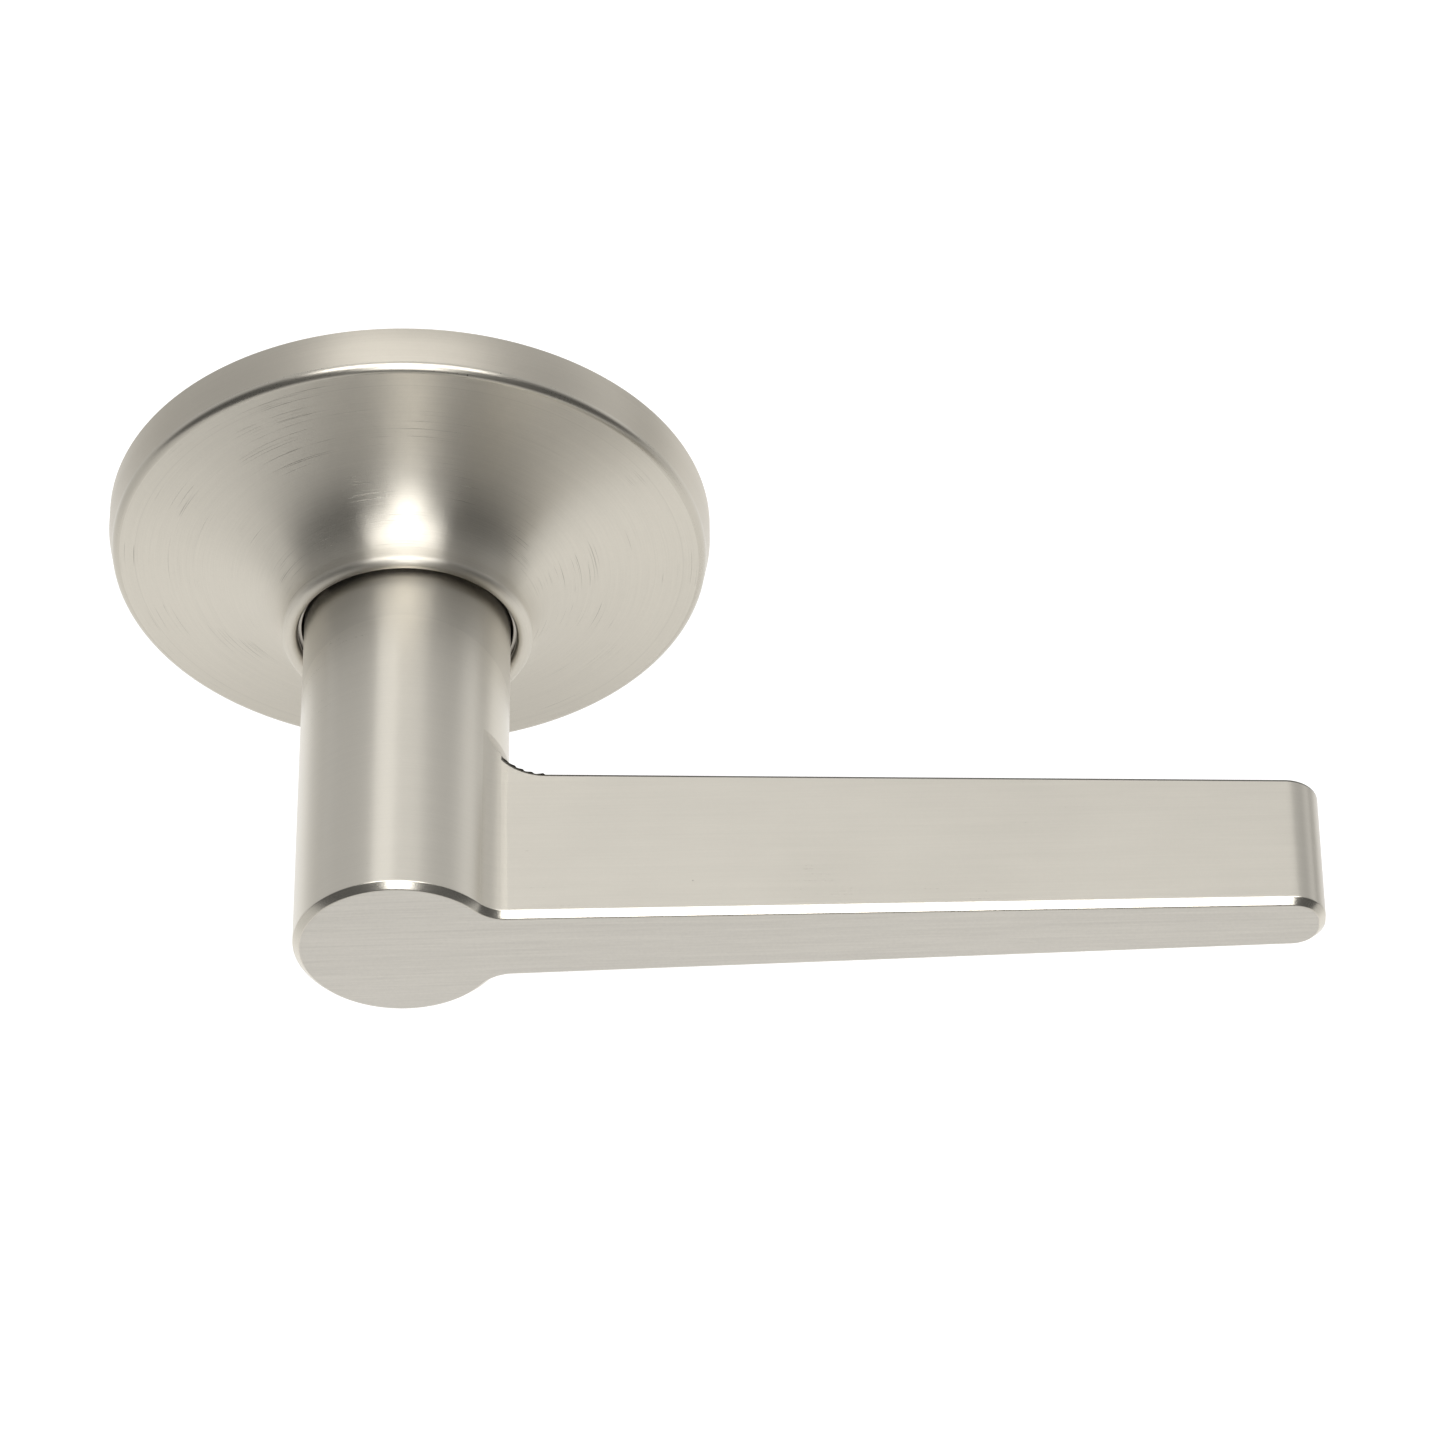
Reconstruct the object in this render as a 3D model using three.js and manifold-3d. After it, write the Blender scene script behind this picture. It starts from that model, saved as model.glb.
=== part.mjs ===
// Lever handle trim for a door: one side of a passage lockset, on its round rose.
// Millimetres. The spindle's axis is Y: +Y goes into the door, -Y comes out to the hand.
// +X runs along the lever and +Z is up. The origin is on the axis, at the door's face.
// Depths below are measured out from the door's face, so a depth d lies at y = -d.

import * as THREE from "three";
import { mergeVertices } from "three/addons/utils/BufferGeometryUtils.js";
import Module from "manifold-3d";

const wasm = await Module();
wasm.setup();

// ---- Driving dimensions ----

const GAP = 0.3; // clearance between neighbouring pieces
const TAU = 2 * Math.PI;
const OUTER_SEGMENTS = 56; // facets round the pieces that show
const INNER_SEGMENTS = 32; // facets round the pieces inside

const ROSE = {
  radius: 40.5,
  lipStart: { radius: 40.0, depth: 5.3 },
  lip: 1.2,
  wall: 1.2,
  collarRadius: 16.8,
  collarRoll: 1.1,
  bore: 14.6,
  depth: 19.9,
};

const LEVER = {
  neck: 13.8,
  neckStart: 9.5,
  front: 71.0,
  bevel: 0.84,
  tip: 119.4,
  tipRadius: 4.4,
  rootHalfHeight: 7.01,
  heightTaper: 0.01789, // half-height lost per millimetre along the arm
  backDepth: 47.4,
  backTaper: 0.0317, // depth gained by the back edge per millimetre along the arm
  outlineFillet: 4.4,
  backFillet: 6.5,
  bore: 9.8,
  boreEnd: 44,
  skirtBore: 12.7,
  skirtEnd: 18.1,
  catchHole: 2.5,
};

const PLATE = { radius: 38, thickness: 2, hole: 10.5 };
const POST = { spacing: 41.2, radius: 4, neck: 2.9, length: 18, thread: 1.75, threadDepth: 14 };
const CAGE = {
  radius: 22,
  wall: 1.2,
  back: 2.3,
  front: 8.4,
  flange: 27.5,
  hubInner: 11,
  hubOuter: 12.3,
  hubEnd: 14.6,
  tabInner: 16.2,
  tabBack: 6.0,
  screwCircle: 24.7,
};
const SLEEVE = { outer: 9.5, inner: 7.5, back: 2.6, front: 42, flange: 11.5, flangeThickness: 1.3 };
const CAM = { back: 4.2, front: 5.7, radius: 15.4, lug: 20.2, lugHalfAngle: 11 };
const STOP = { circle: 13, pin: 1, halfTurn: 50 };
const SPRING = { circle: 18.15, coil: 1.7, wire: 0.4, depth: 4.6, turns: 11, endAngle: 13.5 };
const BUSH = { inner: 9.8, outer: 10.7, back: 7.5, flangeBack: 14.9, front: 15.6, flange: 12.2 };
const WAVE = { back: 15.9, thickness: 0.4, rise: 0.2, crests: 3, outer: 12.2 };
const CLIP_RING = { back: 17.0, front: 17.8, inner: 9.1, outer: 12.2, opening: 50 };
const ROSE_RING = { back: 17.5, front: 18.2, inner: 14.1, outer: 15.3, opening: 24 };
const SPINDLE = { side: 7.6, inner: 20, outer: 26 }; // inner end's depth, outer end's reach into the door
const INSERT = { radius: 7.2, back: 4.5, front: 18, pinDepth: 12, pin: 1 };
const KEY = { width: 3.8, low: 8.2, high: 10.6, back: 20, front: 40 };
const CATCH = { depth: 32, tip: 2.1, tipEnd: 12.6, flangeLow: 6.4, flangeHigh: 5.2, flange: 6 };
const ROSE_CLIP = { inner: 29, riser: 37.2, thickness: 0.7, top: 4.8, ridge: 38.2, width: 8, rivet: 31.5 };

// ---- Solids ----

function radians(degrees) {
  return (degrees * Math.PI) / 180;
}

// A closed geometry as a manifold solid. Triangles that shrink to a line on an axis are dropped.
function solid(geometry) {
  const bare = geometry.clone();
  bare.deleteAttribute("normal");
  bare.deleteAttribute("uv");
  const merged = mergeVertices(bare, 1e-4);
  const index = merged.index.array;
  const kept = [];
  for (let i = 0; i < index.length; i += 3) {
    const [a, b, c] = [index[i], index[i + 1], index[i + 2]];
    if (a !== b && b !== c && c !== a) kept.push(a, b, c);
  }
  return new wasm.Manifold(
    new wasm.Mesh({
      numProp: 3,
      vertProperties: merged.attributes.position.array,
      triVerts: new Uint32Array(kept),
    }),
  );
}

// A manifold solid back as a three.js geometry, shaded flat.
function geometryOf(manifold) {
  const made = manifold.getMesh();
  const geometry = new THREE.BufferGeometry();
  geometry.setAttribute("position", new THREE.BufferAttribute(new Float32Array(made.vertProperties), 3));
  geometry.setIndex(new THREE.BufferAttribute(new Uint32Array(made.triVerts), 1));
  const flat = geometry.toNonIndexed();
  flat.computeVertexNormals();
  return flat;
}

function cut(base, ...tools) {
  return tools.reduce((left, tool) => left.subtract(tool), base);
}

function join(base, ...others) {
  return others.reduce((whole, other) => whole.add(other), base);
}

// A body of revolution about the spindle's axis, from [radius, depth] pairs round its section.
// A lean adds depth along +X.
function turned(section, segments = INNER_SEGMENTS, lean = 0) {
  const points = section.map(([radius, depth]) => new THREE.Vector2(radius, -depth));
  if (THREE.ShapeUtils.area(points) < 0) points.reverse();
  if (points.some((p) => p.x > 0 && p === points[0])) points.push(points[0].clone());
  const shear = new THREE.Matrix4().makeShear(-lean, 0, 0, 0, 0, 0);
  return solid(new THREE.LatheGeometry(points, segments).applyMatrix4(shear));
}

// A ring or disc of rectangular section.
function ring(inner, outer, back, front, segments = INNER_SEGMENTS) {
  return turned([[inner, back], [outer, back], [outer, front], [inner, front]], segments);
}

// A round bar along Y, off the axis, between two depths.
function bar(x, z, radius, back, front, segments = 16) {
  const shape = new THREE.CylinderGeometry(radius, radius, front - back, segments);
  return solid(shape.translate(x, -(back + front) / 2, z));
}

// A box between two depths.
function block(xLow, xHigh, zLow, zHigh, back, front) {
  const shape = new THREE.BoxGeometry(xHigh - xLow, front - back, zHigh - zLow);
  return solid(shape.translate((xLow + xHigh) / 2, -(back + front) / 2, (zLow + zHigh) / 2));
}

// An outline in the X-Z plane, drawn out between two depths. A bevel breaks the edges at both ends.
function plate(outline, back, front, bevel = 0) {
  const shape = new THREE.ExtrudeGeometry(new THREE.Shape(outline), {
    depth: front - back - 2 * bevel,
    bevelEnabled: bevel > 0,
    bevelThickness: bevel,
    bevelSize: bevel,
    bevelOffset: -bevel,
    bevelSegments: 1,
  });
  return solid(shape.rotateX(Math.PI / 2).translate(0, -back - bevel, 0));
}

// Points on an arc about a centre, in degrees.
function arc(centreX, centreY, radius, from, to, steps) {
  const points = [];
  for (let i = 0; i <= steps; i++) {
    const angle = radians(from + ((to - from) * i) / steps);
    points.push(new THREE.Vector2(centreX + radius * Math.cos(angle), centreY + radius * Math.sin(angle)));
  }
  return points;
}

// A sector of a ring, in the X-Z plane.
function sector(inner, outer, from, to, steps) {
  return [...arc(0, 0, outer, from, to, steps), ...arc(0, 0, inner, to, from, steps)];
}

// A piece turned about the spindle's axis, so that what lay along +X lies at this angle towards +Z.
function turnedTo(piece, degrees) {
  return piece.rotate([0, -degrees, 0]);
}

// ---- The rose and what holds it ----

// The flare from the rim's lip to the collar, as [radius, depth] pairs.
function flare(steps) {
  const { lipStart, lip, collarRadius, depth, collarRoll } = ROSE;
  const curve = new THREE.CubicBezierCurve(
    new THREE.Vector2(lipStart.radius - lip - 0.2, lipStart.depth + lip),
    new THREE.Vector2(28.5, 7.9),
    new THREE.Vector2(18.2, 9.5),
    new THREE.Vector2(collarRadius, depth - 2 * collarRoll),
  );
  return Array.from({ length: steps + 1 }, (_, i) => {
    const at = curve.getPoint(i / steps);
    const along = curve.getTangent(i / steps);
    return { outer: [at.x, at.y], inner: [at.x - along.y * ROSE.wall, at.y + along.x * ROSE.wall] };
  });
}

function roseCover() {
  const { radius, lipStart, lip, wall, collarRadius, collarRoll, bore, depth } = ROSE;
  const rollDepth = depth - collarRoll;
  const rollCentre = collarRadius - collarRoll;
  const curve = flare(9);
  const rim = arc(lipStart.radius - lip, lipStart.depth, lip, 0, 80, 3).map((p) => [p.x, p.y]);
  const roll = arc(rollCentre, rollDepth, collarRoll, 0, 180, 5).map((p) => [p.x, p.y]);
  return turned([
    [radius - wall, 0],
    [radius, 0],
    ...rim,
    ...curve.map((p) => p.outer),
    ...roll,
    [bore, rollDepth - 0.25],
    [collarRadius - wall, rollDepth - 0.25],
    ...curve.slice(1).reverse().map((p) => p.inner),
    [lipStart.radius - wall, lipStart.depth - 0.6],
  ], OUTER_SEGMENTS);
}

function mountingPlate() {
  const holes = [-1, 1].map((side) => bar((side * POST.spacing) / 2, 0, POST.neck + GAP, -1, 3, 20));
  const pins = [-1, 1].map((side) => bar(side * STOP.circle, 0, STOP.pin + GAP, -1, 3));
  const screws = screwAngles.map((angle) => turnedTo(bar(CAGE.screwCircle, 0, 1.2 + GAP, -1, 3, 12), angle));
  const rivets = clipAngles.map((angle) => turnedTo(bar(ROSE_CLIP.rivet, 0, 1 + GAP, -1, 3, 12), angle));
  const disc = ring(PLATE.hole, PLATE.radius, 0, PLATE.thickness, OUTER_SEGMENTS);
  return cut(disc, ...holes, ...pins, ...screws, ...rivets);
}

// A tapped post, staked flush into the plate. The through-bolts from the other side screw into it.
function post(x) {
  const { radius, neck, length, thread, threadDepth } = POST;
  const section = [
    [0, PLATE.thickness - GAP],
    [neck, PLATE.thickness - GAP],
    [neck, -GAP],
    [radius, -GAP],
    [radius, -length + 0.4],
    [radius - 0.4, -length],
    [thread, -length],
    [thread, -length + threadDepth],
    [0, -length + threadDepth + 1],
  ];
  return turned(section, 20).translate([x, 0, 0]);
}

// A spring clip: its base is riveted to the plate and its upright snaps inside the rose's rim.
function roseClip(angle) {
  const { inner, riser, thickness, top, ridge, width, rivet } = ROSE_CLIP;
  const base = PLATE.thickness + GAP;
  const side = [
    [inner, base],
    [riser + thickness, base],
    [ridge, base + 1.2],
    [riser + thickness, top],
    [riser, top],
    [ridge - thickness, base + 1.2],
    [riser, base + thickness],
    [inner, base + thickness],
  ].map(([x, depth]) => new THREE.Vector2(x, -depth));
  const settings = { depth: width, bevelEnabled: false };
  const strip = new THREE.ExtrudeGeometry(new THREE.Shape(side.reverse()), settings);
  const hole = bar(rivet, 0, 1 + GAP, 1, 5, 12);
  return turnedTo(cut(solid(strip.translate(0, 0, -width / 2)), hole), angle);
}

// A headed fastener along Y: a domed head in front, its shank running back into the plate.
function fastener(circle, angle, shank, head, headBack, headHeight) {
  const section = [
    [0, GAP],
    [shank, GAP],
    [shank, headBack],
    [head, headBack],
    [head, headBack + headHeight * 0.5],
    [head * 0.7, headBack + headHeight],
    [0, headBack + headHeight],
  ];
  return turnedTo(turned(section, 12).translate([circle, 0, 0]), angle);
}

// The split ring behind the collar's lip, which centres the lever's neck in the rose.
function roseRing() {
  const { inner, outer, back, front, opening } = ROSE_RING;
  const middle = 125; // its ends meet at the upper left
  return plate(sector(inner, outer, middle + opening / 2, middle + 360 - opening / 2, 44), back, front);
}

// ---- The spring cage ----

function springCage() {
  const { radius, wall, back, front, flange, screwCircle } = CAGE;
  const { hubInner, hubOuter, hubEnd, tabInner, tabBack } = CAGE;
  const cup = turned([
    [radius - wall, back],
    [flange, back],
    [flange, back + wall],
    [radius, back + wall],
    [radius, front],
    [hubOuter, front],
    [hubOuter, hubEnd],
    [hubInner, hubEnd],
    [hubInner, front - wall],
    [radius - wall, front - wall],
  ]);
  const tabs = [90, 270].map((angle) => {
    const half = CAM.lugHalfAngle;
    const outline = sector(tabInner, radius - wall / 2, angle - half, angle + half, 4);
    return plate(outline, tabBack, front - wall / 2);
  });
  const holes = screwAngles.map((angle) => turnedTo(bar(screwCircle, 0, 1.2 + GAP, 1, 5, 12), angle));
  return cut(join(cup, ...tabs), ...holes);
}

// A compression spring bent round the axis, from its coils' centre line.
class BentHelix extends THREE.Curve {
  constructor(from, to) {
    super();
    this.from = from;
    this.to = to;
  }

  getPoint(t, target = new THREE.Vector3()) {
    const bend = radians(this.from + (this.to - this.from) * t);
    const turn = TAU * SPRING.turns * t;
    const radius = SPRING.circle + SPRING.coil * Math.cos(turn);
    const depth = SPRING.depth + SPRING.coil * Math.sin(turn);
    return target.set(radius * Math.cos(bend), -depth, radius * Math.sin(bend));
  }
}

// A straight compression spring along Z.
class StraightHelix extends THREE.Curve {
  constructor(radius, turns, low, high) {
    super();
    Object.assign(this, { radius, turns, low, high });
  }

  getPoint(t, target = new THREE.Vector3()) {
    const turn = TAU * this.turns * t;
    const z = this.low + (this.high - this.low) * t;
    return target.set(this.radius * Math.cos(turn), -CATCH.depth + this.radius * Math.sin(turn), z);
  }
}

// Round wire along a curve.
function wire(curve, radius, steps, sides) {
  const section = new THREE.Shape(arc(0, 0, radius, 0, 360 - 360 / sides, sides - 1));
  return solid(new THREE.ExtrudeGeometry(section, { steps, extrudePath: curve, bevelEnabled: false }));
}

function returnSpring(from, to) {
  return wire(new BentHelix(from, to), SPRING.wire, SPRING.turns * 8, 5);
}

function waveWasher() {
  const { back, thickness, rise, crests, outer } = WAVE;
  const section = [[LEVER.bore, back + rise], [outer, back + rise]];
  const square = [...section, [outer, back + rise + thickness], [LEVER.bore, back + rise + thickness]];
  return turned(square).warp((v) => {
    v[1] += rise * Math.sin(crests * Math.atan2(v[2], v[0]));
  });
}

// ---- What turns with the lever ----

function driveCam() {
  const { back, front, radius, lug, lugHalfAngle } = CAM;
  const disc = ring(SLEEVE.outer + GAP, radius, back, front);
  const lugs = [90, 270].map((angle) =>
    plate(sector(radius - 1, lug, angle - lugHalfAngle, angle + lugHalfAngle, 4), back, front),
  );
  const reach = STOP.pin + GAP;
  const halfSlot = STOP.halfTurn + ((reach + 0.1) / STOP.circle) * (180 / Math.PI);
  const slots = [0, 180].map((angle) =>
    plate(sector(STOP.circle - reach, STOP.circle + reach, angle - halfSlot, angle + halfSlot, 14), 3, 7),
  );
  return cut(join(disc, ...lugs), ...slots);
}

function driveSleeve() {
  const { outer, inner, back, front, flange, flangeThickness } = SLEEVE;
  const groove = [CLIP_RING.back - GAP, CLIP_RING.front + GAP];
  const tube = turned([
    [inner, back],
    [flange, back],
    [flange, back + flangeThickness],
    [outer, back + flangeThickness],
    [outer, groove[0]],
    [CLIP_RING.inner - GAP, groove[0]],
    [CLIP_RING.inner - GAP, groove[1]],
    [outer, groove[1]],
    [outer, front],
    [inner, front],
  ]);
  const half = KEY.width / 2 + GAP;
  const keySeat = block(-half, half, KEY.low - GAP, outer + 1, KEY.back - GAP, KEY.front + GAP);
  const window = alongZ(0, CATCH.depth, CATCH.tip + GAP, -12, -5);
  const pinHole = alongX(INSERT.pin + GAP, INSERT.pinDepth, 12);
  return cut(tube, keySeat, window, pinHole);
}

// Round bars across the axis: along Z between two heights, and along X through both sides.
function alongZ(x, depth, radius, low, high, segments = 20) {
  const shape = new THREE.CylinderGeometry(radius, radius, high - low, segments);
  return solid(shape.rotateX(Math.PI / 2).translate(x, -depth, (low + high) / 2));
}

function alongX(radius, depth, reach, segments = 12) {
  const shape = new THREE.CylinderGeometry(radius, radius, 2 * reach, segments);
  return solid(shape.rotateZ(Math.PI / 2).translate(0, -depth, 0));
}

function driveInsert() {
  const half = SPINDLE.side / 2 + GAP;
  const hole = block(-half, half, -half, half, 0, 30);
  const pinHole = alongX(INSERT.pin + GAP, INSERT.pinDepth, 12);
  return cut(ring(0, INSERT.radius, INSERT.back, INSERT.front), hole, pinHole);
}

// The square spindle, with its outer end broken so that it finds the latch.
function spindle() {
  const half = SPINDLE.side / 2;
  const square = [
    [-half, -half],
    [half, -half],
    [half, half],
    [-half, half],
  ].map(([x, z]) => new THREE.Vector2(x, z));
  const pinHole = alongX(INSERT.pin + GAP, INSERT.pinDepth, 12);
  return cut(plate(square, -SPINDLE.outer, SPINDLE.inner, 0.8), pinHole);
}

function retainingRing() {
  const { inner, outer, back, front, opening } = CLIP_RING;
  return plate(sector(inner, outer, 90 + opening / 2, 450 - opening / 2, 36), back, front);
}

// Half the arm's height at a distance along it.
function halfHeight(x) {
  return LEVER.rootHalfHeight - LEVER.heightTaper * x;
}

// The lever seen from the front: the neck's circle, fillets, the tapering arm and its round tip.
function leverOutline() {
  const { neck, outlineFillet: fillet, tip, tipRadius } = LEVER;
  let centreX = 14;
  let centreZ = 11;
  for (let i = 0; i < 8; i++) {
    centreZ = halfHeight(centreX) + fillet;
    centreX = Math.sqrt((neck + fillet) ** 2 - centreZ ** 2);
  }
  const touch = (Math.atan2(centreZ, centreX) * 180) / Math.PI;
  const tipTop = halfHeight(tip - tipRadius) - tipRadius;
  const upper = [
    ...arc(centreX, centreZ, fillet, 270, 180 + touch, 6).reverse(),
    ...arc(tip - tipRadius, tipTop, tipRadius, 90, 0, 7),
  ];
  const lower = upper.map((p) => new THREE.Vector2(p.x, -p.y)).reverse();
  const round = arc(0, 0, neck, -touch, touch - 360, 52);
  return [...upper, ...lower, ...round.slice(1, -1)].reverse();
}

// The space behind the arm: its fillet runs round the neck, and it leans to follow the arm's back.
function spaceBehindArm() {
  const { neck, backDepth, backTaper, backFillet: fillet, tip } = LEVER;
  const around = turned([
    [neck - 0.1, 0],
    [neck - 0.1, backDepth - fillet],
    ...arc(neck + fillet, backDepth - fillet, fillet, 180, 90, 8).map((p) => [p.x, p.y]),
    [tip + 20, backDepth],
    [tip + 20, 0],
  ], 64, backTaper);
  return around.intersect(block(10, tip + 10, -30, 30, -10, 60));
}

function leverHandle() {
  const { neck, neckStart, front, bevel, bore, boreEnd, skirtBore, skirtEnd, catchHole } = LEVER;
  const whole = plate(leverOutline(), neckStart, front, bevel);
  const neckAlone = plate(arc(0, 0, neck, 0, 354.375, 63), neckStart, front, bevel);
  const half = KEY.width / 2 + GAP;
  return cut(
    whole,
    cut(spaceBehindArm(), neckAlone),
    ring(0, bore, skirtEnd - 1, boreEnd),
    ring(0, skirtBore, neckStart - 1, skirtEnd),
    block(-half, half, 0, KEY.high + GAP, skirtEnd - 1, KEY.front + GAP),
    alongZ(0, CATCH.depth, catchHole, -20, 0),
  );
}

// The catch: a round tongue that stands in the neck's hole, with a square foot inside the sleeve.
function leverCatch() {
  const { depth, tip, tipEnd, flangeLow, flangeHigh, flange } = CATCH;
  const tongue = alongZ(0, depth, tip, -tipEnd, -flangeLow + 0.5);
  const half = flange / 2;
  const foot = block(-half, half, -flangeLow, -flangeHigh, depth - half, depth + half);
  return join(tongue, foot);
}

// ---- The assembly ----

const screwAngles = [45, 135, 225, 315];
const clipAngles = [90, 210, 330];

const SATIN_NICKEL = [0xcdc8bc, 0.3, 1.0];
const ZINC_PLATE = [0xb4b7ba, 0.4, 1.0];
const SPRING_STEEL = [0x6f7073, 0.35, 1.0];
const BRIGHT_STEEL = [0xc2c3c4, 0.28, 1.0];
const BRONZE = [0xb08a4e, 0.4, 1.0];
const NYLON = [0xe6e3d8, 0.6, 0.0];

const lockset = new THREE.Group();
lockset.name = "lever_handle_lockset";

function add(name, shape, [colour, roughness, metalness]) {
  const material = new THREE.MeshStandardMaterial({ color: colour, roughness, metalness });
  const mesh = new THREE.Mesh(geometryOf(shape), material);
  mesh.name = name;
  lockset.add(mesh);
}

add("rose_cover", roseCover(), SATIN_NICKEL);
add("lever_handle", leverHandle(), SATIN_NICKEL);

add("mounting_plate", mountingPlate(), ZINC_PLATE);
add("post_left", post(-POST.spacing / 2), ZINC_PLATE);
add("post_right", post(POST.spacing / 2), ZINC_PLATE);
add("spring_cage", springCage(), ZINC_PLATE);
screwAngles.forEach((angle, i) => {
  const headBack = CAGE.back + CAGE.wall + GAP;
  add(`cage_screw_${i + 1}`, fastener(CAGE.screwCircle, angle, 1.2, 2.2, headBack, 1.4), BRIGHT_STEEL);
});
clipAngles.forEach((angle, i) => {
  const headBack = PLATE.thickness + GAP + ROSE_CLIP.thickness + GAP;
  add(`rose_clip_${i + 1}`, roseClip(angle), SPRING_STEEL);
  add(`clip_rivet_${i + 1}`, fastener(ROSE_CLIP.rivet, angle, 1, 2, headBack, 0.8), BRIGHT_STEEL);
});
add("rose_ring", roseRing(), SPRING_STEEL);
add("stop_pin_left", bar(-STOP.circle, 0, STOP.pin, GAP, CAM.front + 0.1), BRIGHT_STEEL);
add("stop_pin_right", bar(STOP.circle, 0, STOP.pin, GAP, CAM.front + 0.1), BRIGHT_STEEL);
add("return_spring_left", returnSpring(90 + SPRING.endAngle, 270 - SPRING.endAngle), SPRING_STEEL);
add("return_spring_right", returnSpring(-90 + SPRING.endAngle, 90 - SPRING.endAngle), SPRING_STEEL);
add("thrust_washer", ring(LEVER.bore, 14.6, CAM.front + 0.4, CAGE.front - CAGE.wall - GAP), NYLON);
add("bearing_bush", turned([
  [BUSH.inner, BUSH.back],
  [BUSH.outer, BUSH.back],
  [BUSH.outer, BUSH.flangeBack],
  [BUSH.flange, BUSH.flangeBack],
  [BUSH.flange, BUSH.front],
  [BUSH.inner, BUSH.front],
]), BRONZE);
add("wave_washer", waveWasher(), SPRING_STEEL);

add("drive_sleeve", driveSleeve(), ZINC_PLATE);
add("drive_cam", driveCam(), ZINC_PLATE);
add("drive_key", block(-KEY.width / 2, KEY.width / 2, KEY.low, KEY.high, KEY.back, KEY.front), BRIGHT_STEEL);
add("drive_insert", driveInsert(), ZINC_PLATE);
add("insert_pin", alongX(INSERT.pin, INSERT.pinDepth, SLEEVE.outer - 0.2), BRIGHT_STEEL);
add("spindle", spindle(), ZINC_PLATE);
add("retaining_ring", retainingRing(), SPRING_STEEL);
add("lever_catch", leverCatch(), BRIGHT_STEEL);
add("catch_spring", wire(new StraightHelix(1.7, 7, -CATCH.flangeHigh + 0.6, 6.6), 0.25, 56, 5), SPRING_STEEL);

export default lockset;
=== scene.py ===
# Lever handle lockset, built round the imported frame. Metres; the working units below are millimetres.
# The spindle's axis is Y. A depth d is measured out from the door's face, so it lies at y = -d.
import math

import bmesh
import bpy
from mathutils import Matrix, Vector


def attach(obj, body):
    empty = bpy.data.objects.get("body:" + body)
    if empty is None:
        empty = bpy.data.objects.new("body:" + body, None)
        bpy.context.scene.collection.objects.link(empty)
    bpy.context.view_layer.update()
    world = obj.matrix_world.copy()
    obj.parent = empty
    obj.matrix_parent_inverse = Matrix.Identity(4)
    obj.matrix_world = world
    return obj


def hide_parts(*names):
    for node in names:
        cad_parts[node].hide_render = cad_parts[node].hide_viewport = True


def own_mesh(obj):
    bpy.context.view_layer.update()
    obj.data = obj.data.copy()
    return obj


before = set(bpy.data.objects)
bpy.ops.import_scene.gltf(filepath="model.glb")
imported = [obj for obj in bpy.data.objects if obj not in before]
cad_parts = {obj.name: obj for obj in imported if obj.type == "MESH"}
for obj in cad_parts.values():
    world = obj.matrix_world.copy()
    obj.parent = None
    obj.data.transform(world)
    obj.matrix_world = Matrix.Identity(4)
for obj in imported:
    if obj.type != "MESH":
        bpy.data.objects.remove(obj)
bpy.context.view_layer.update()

MM = 0.001
TAU = 2 * math.pi

# ---- Dimensions, in millimetres, as in the CAD ----

ROSE_RADIUS, ROSE_DEPTH, ROSE_WALL = 40.5, 19.9, 1.2
LIP_RADIUS, LIP_DEPTH, LIP = 40.0, 5.3, 1.2
COLLAR_RADIUS, COLLAR_ROLL, COLLAR_BORE = 16.8, 1.1, 14.6

NECK, NECK_START, FRONT, BEVEL = 13.8, 9.5, 71.0, 0.84
TIP, TIP_RADIUS = 119.4, 4.4
ROOT_HALF, TAPER = 7.01, 0.01789
BACK_DEPTH, BACK_TAPER, BACK_FILLET = 47.4, 0.0317, 6.5
FILLET = 4.4
BACK_EDGE = 0.5
CATCH_DEPTH, CATCH_HOLE, CATCH_TIP, CATCH_TIP_END = 32.0, 2.5, 2.1, 12.6
KEY_HALF, KEY_HIGH, KEY_FRONT = 1.9, 10.6, 40.0
GAP = 0.3

FLAT_LOOK, BEVEL_LOOK, INSIDE_LOOK, EDGE_LOOK, FILLET_LOOK = 1, 2, 3, 4, 5  # the lever's material slots

ROUND_STEPS = 240  # facets round the pieces that show
INNER_STEPS = 120


# ---- Mesh helpers ----

def point(x, depth, z):
    return Vector((x * MM, -depth * MM, z * MM))


def around(radius, depth, degrees):
    angle = math.radians(degrees)
    return point(radius * math.cos(angle), depth, radius * math.sin(angle))


def finish_mesh(name, bm, sharp=32):
    """The bmesh as a linked object, smooth but for its sharp edges."""
    bmesh.ops.recalc_face_normals(bm, faces=bm.faces)
    for face in bm.faces:
        face.smooth = True
    for edge in bm.edges:
        edge.smooth = len(edge.link_faces) == 2 and edge.calc_face_angle(0) < math.radians(sharp)
    mesh = bpy.data.meshes.new(name)
    bm.to_mesh(mesh)
    bm.free()
    obj = bpy.data.objects.new(name, mesh)
    bpy.context.collection.objects.link(obj)
    return obj


def arc(cx, cy, radius, start, end, steps):
    """Points on an arc, in degrees."""
    return [
        (cx + radius * math.cos(math.radians(start + (end - start) * i / steps)),
         cy + radius * math.sin(math.radians(start + (end - start) * i / steps)))
        for i in range(steps + 1)
    ]


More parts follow.
